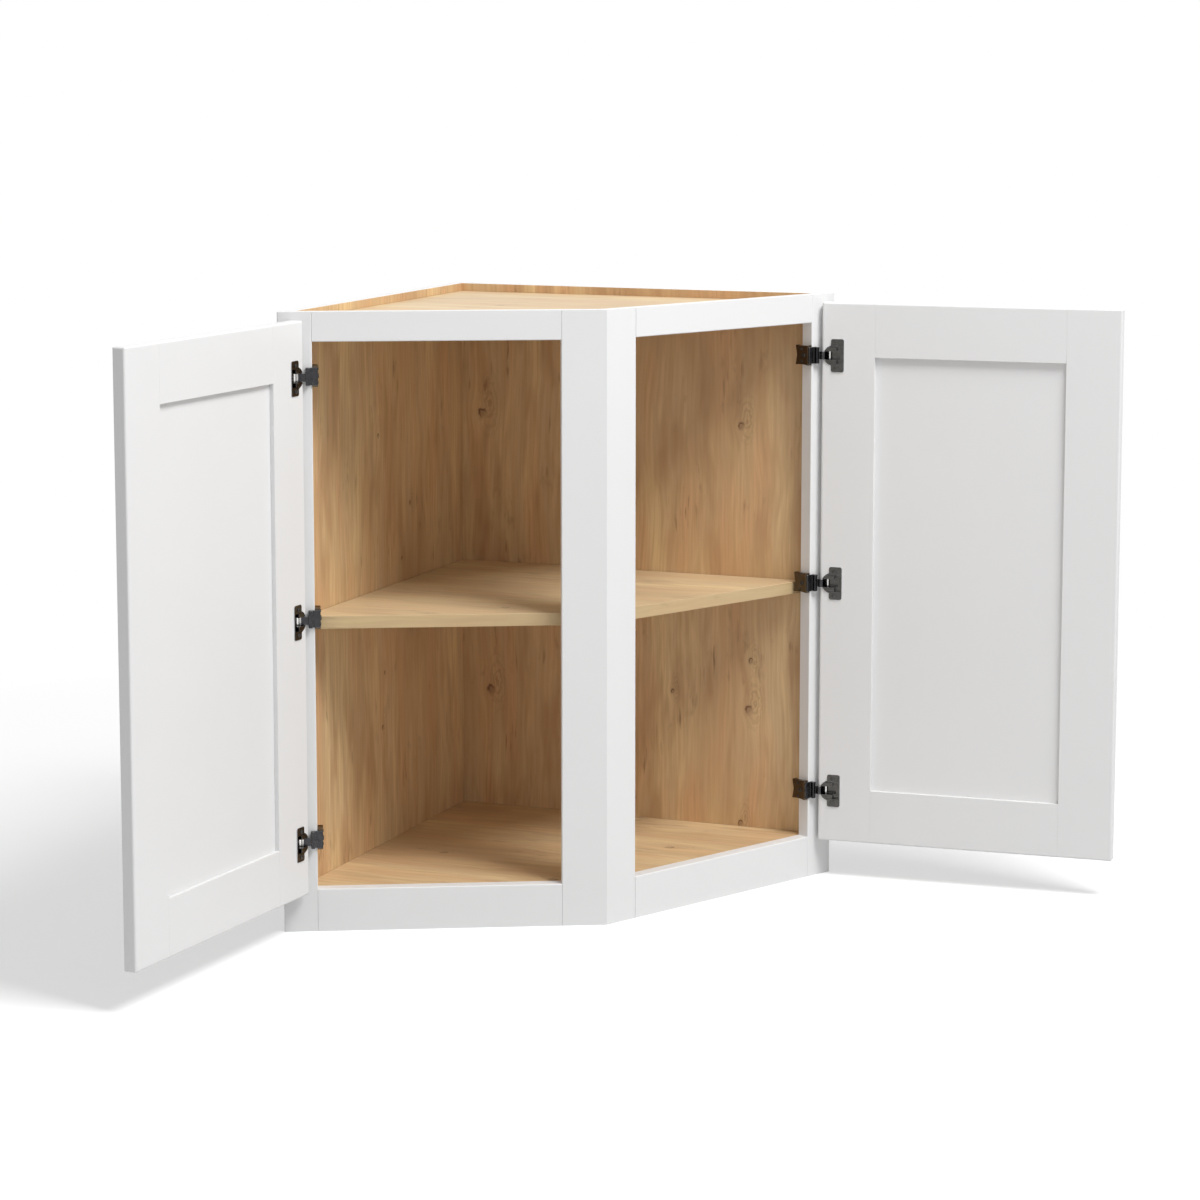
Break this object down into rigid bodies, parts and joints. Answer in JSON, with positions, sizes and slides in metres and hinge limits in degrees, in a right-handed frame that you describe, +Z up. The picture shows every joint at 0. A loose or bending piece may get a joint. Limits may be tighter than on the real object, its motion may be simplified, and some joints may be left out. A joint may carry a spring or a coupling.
{
  "type": "base end cabinet",
  "caption": "Angled base end cabinet: a kite-shaped carcass with face frames meeting in a ridge, shaker doors on compact hinges and an inner shelf.",
  "frame": {"origin": "rear corner of the carcass, at the floor", "axes": "+X along the back panel's outer face, -Y along the side panel's outer face, +Z up"},
  "size_m": [1.0558, 1.0558, 0.8763],
  "materials": {
    "white_paint": "satin white paint",
    "veneered_panel": "white paint outside, clear-coated natural veneer inside",
    "natural_veneer": "clear-coated natural veneer",
    "raw_wood": "raw sawn wood",
    "black_nickel": "dark satin plating",
    "bronzed_steel": "bronze plating",
    "nickel": "nickel plating"
  },
  "bodies": {
    "cabinet": {"side_panel": "veneered_panel", "back_panel": "veneered_panel", "top_panel": "natural_veneer", "floor_panel": "natural_veneer", "shelf": "natural_veneer", "shelf_pins": "nickel", "glue_blocks": "raw_wood", "left_end_stile": "white_paint", "left_centre_stile": "white_paint", "left_top_rail": "white_paint", "left_bottom_rail": "white_paint", "left_plate_screws": "nickel", "left_arm_screws": "nickel", "left_top_hinge_plate": "bronzed_steel", "left_top_hinge_arm": "black_nickel", "left_middle_hinge_plate": "bronzed_steel", "left_middle_hinge_arm": "black_nickel", "left_bottom_hinge_plate": "bronzed_steel", "left_bottom_hinge_arm": "black_nickel", "right_end_stile": "white_paint", "right_centre_stile": "white_paint", "right_top_rail": "white_paint", "right_bottom_rail": "white_paint", "right_plate_screws": "nickel", "right_arm_screws": "nickel", "right_top_hinge_plate": "bronzed_steel", "right_top_hinge_arm": "black_nickel", "right_middle_hinge_plate": "bronzed_steel", "right_middle_hinge_arm": "black_nickel", "right_bottom_hinge_plate": "bronzed_steel", "right_bottom_hinge_arm": "black_nickel"},
    "left_door": {"left_door_hinge_stile": "white_paint", "left_door_free_stile": "white_paint", "left_door_top_rail": "white_paint", "left_door_bottom_rail": "white_paint", "left_door_panel": "white_paint", "left_hinge_pins": "nickel", "left_cup_screws": "nickel", "left_top_hinge_cup": "black_nickel", "left_middle_hinge_cup": "black_nickel", "left_bottom_hinge_cup": "black_nickel"},
    "right_door": {"right_door_hinge_stile": "white_paint", "right_door_free_stile": "white_paint", "right_door_top_rail": "white_paint", "right_door_bottom_rail": "white_paint", "right_door_panel": "white_paint", "right_hinge_pins": "nickel", "right_cup_screws": "nickel", "right_top_hinge_cup": "black_nickel", "right_middle_hinge_cup": "black_nickel", "right_bottom_hinge_cup": "black_nickel"}
  },
  "joints": [
    {"name": "left_door_swing", "type": "hinge", "parent": "cabinet", "child": "left_door", "pos_m": [0.02661, -0.61282, 0.4475], "axis": [0, 0, 1], "range_deg": [0, 120]},
    {"name": "right_door_swing", "type": "hinge", "parent": "cabinet", "child": "right_door", "pos_m": [0.61282, -0.02661, 0.4475], "axis": [0, 0, -1], "range_deg": [0, 120]}
  ]
}
